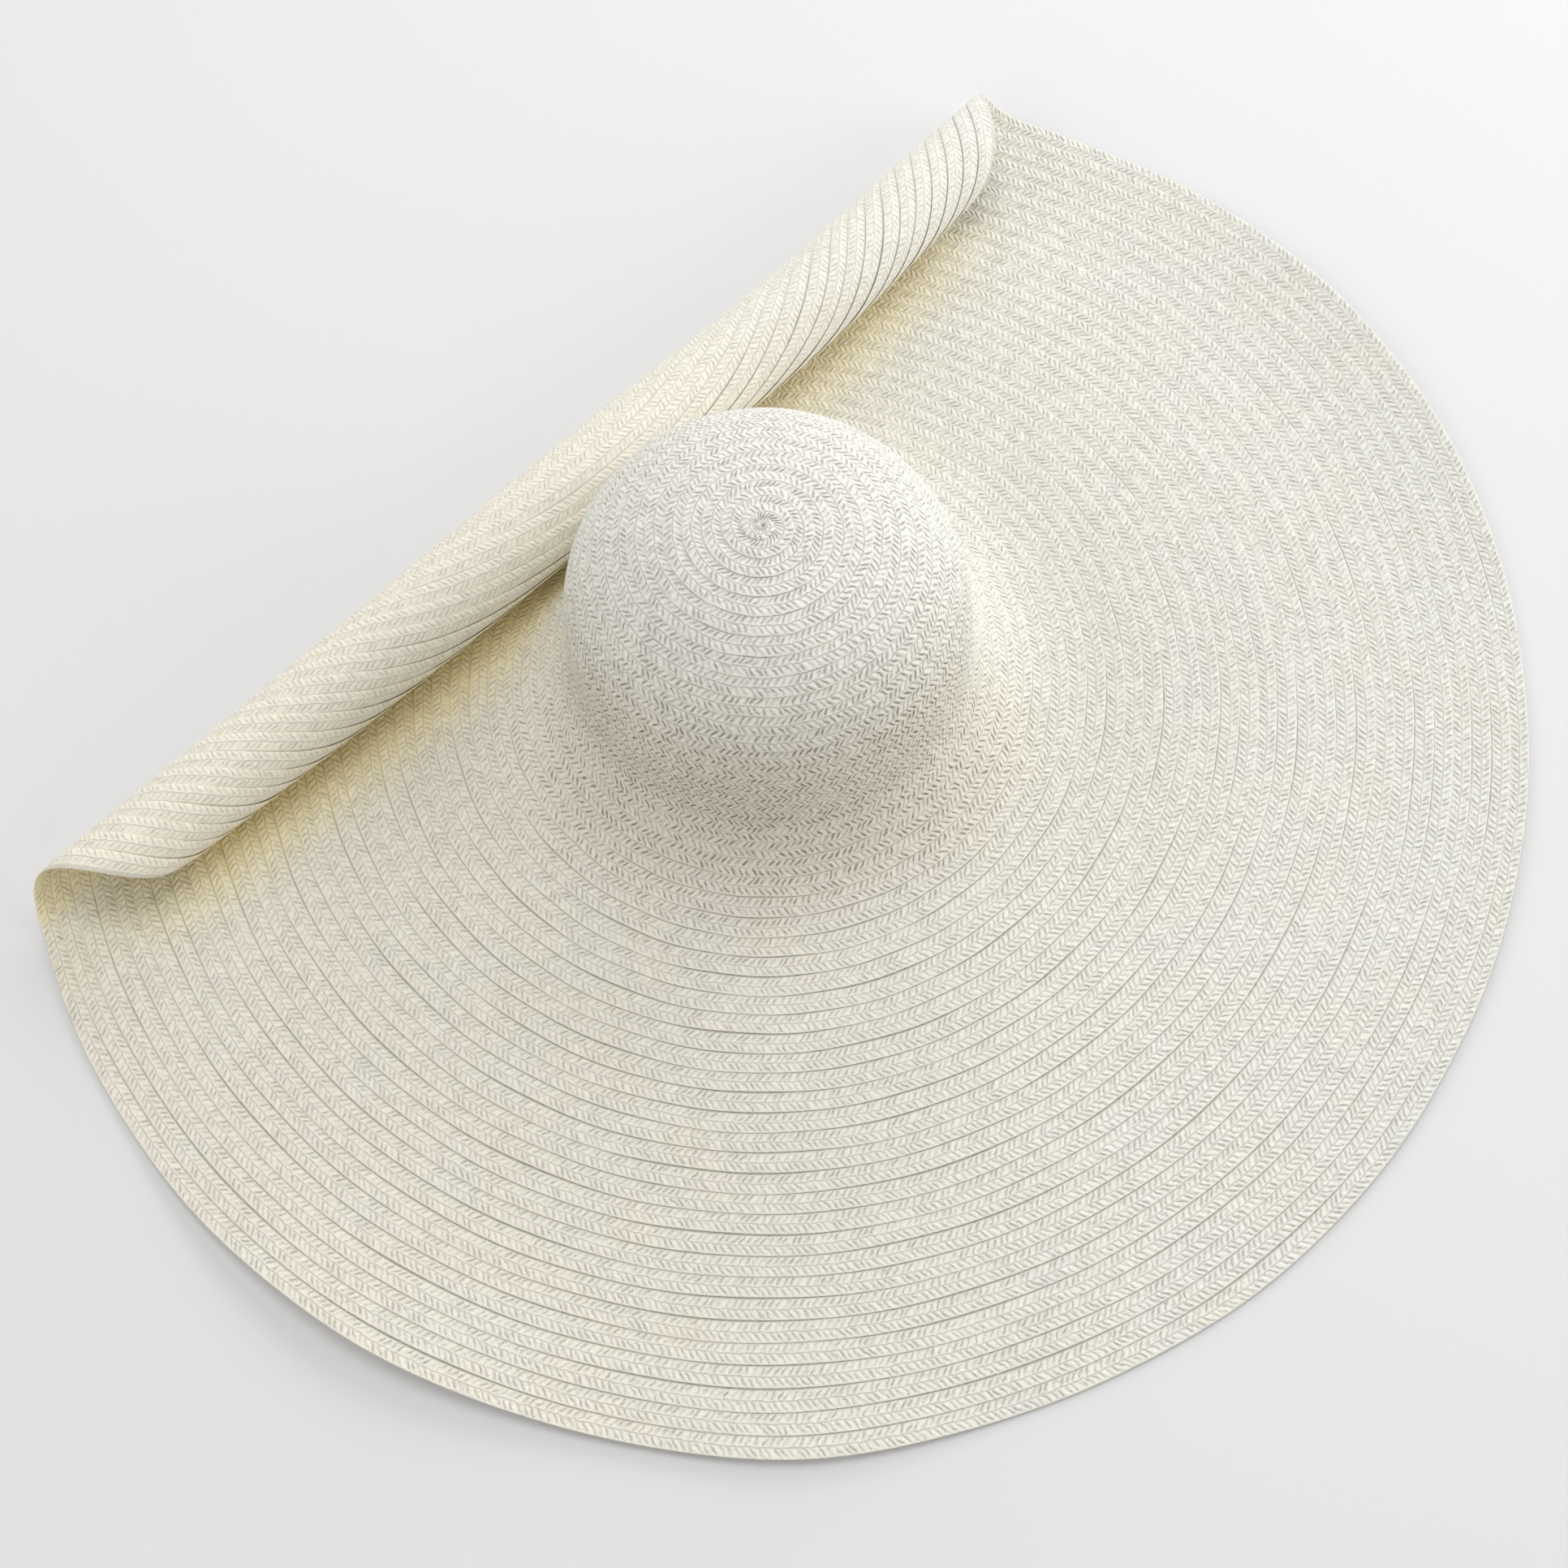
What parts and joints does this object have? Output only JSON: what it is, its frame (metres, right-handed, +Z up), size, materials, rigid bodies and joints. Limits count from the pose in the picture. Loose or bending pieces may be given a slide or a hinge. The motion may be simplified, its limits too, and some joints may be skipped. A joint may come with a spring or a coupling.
{
  "type": "wide brim straw sun hat",
  "caption": "Floppy wide brim sun hat of sewn straw braid with a round crown, lying flat with one side of its brim rolled up beside the crown.",
  "frame": {"origin": "on the surface the hat lies on, under the middle of its footprint", "axes": "+X along the rolled side of the brim, +Y from the crown towards that roll, +Z up through the crown"},
  "size_m": [0.6964, 0.501, 0.132],
  "materials": {
    "crown_straw": "matt sewn paper-straw braid",
    "brim_straw": "matt sewn paper-straw braid"
  },
  "bodies": {
    "root": {"crown": "crown_straw", "brim": "brim_straw"}
  },
  "joints": []
}
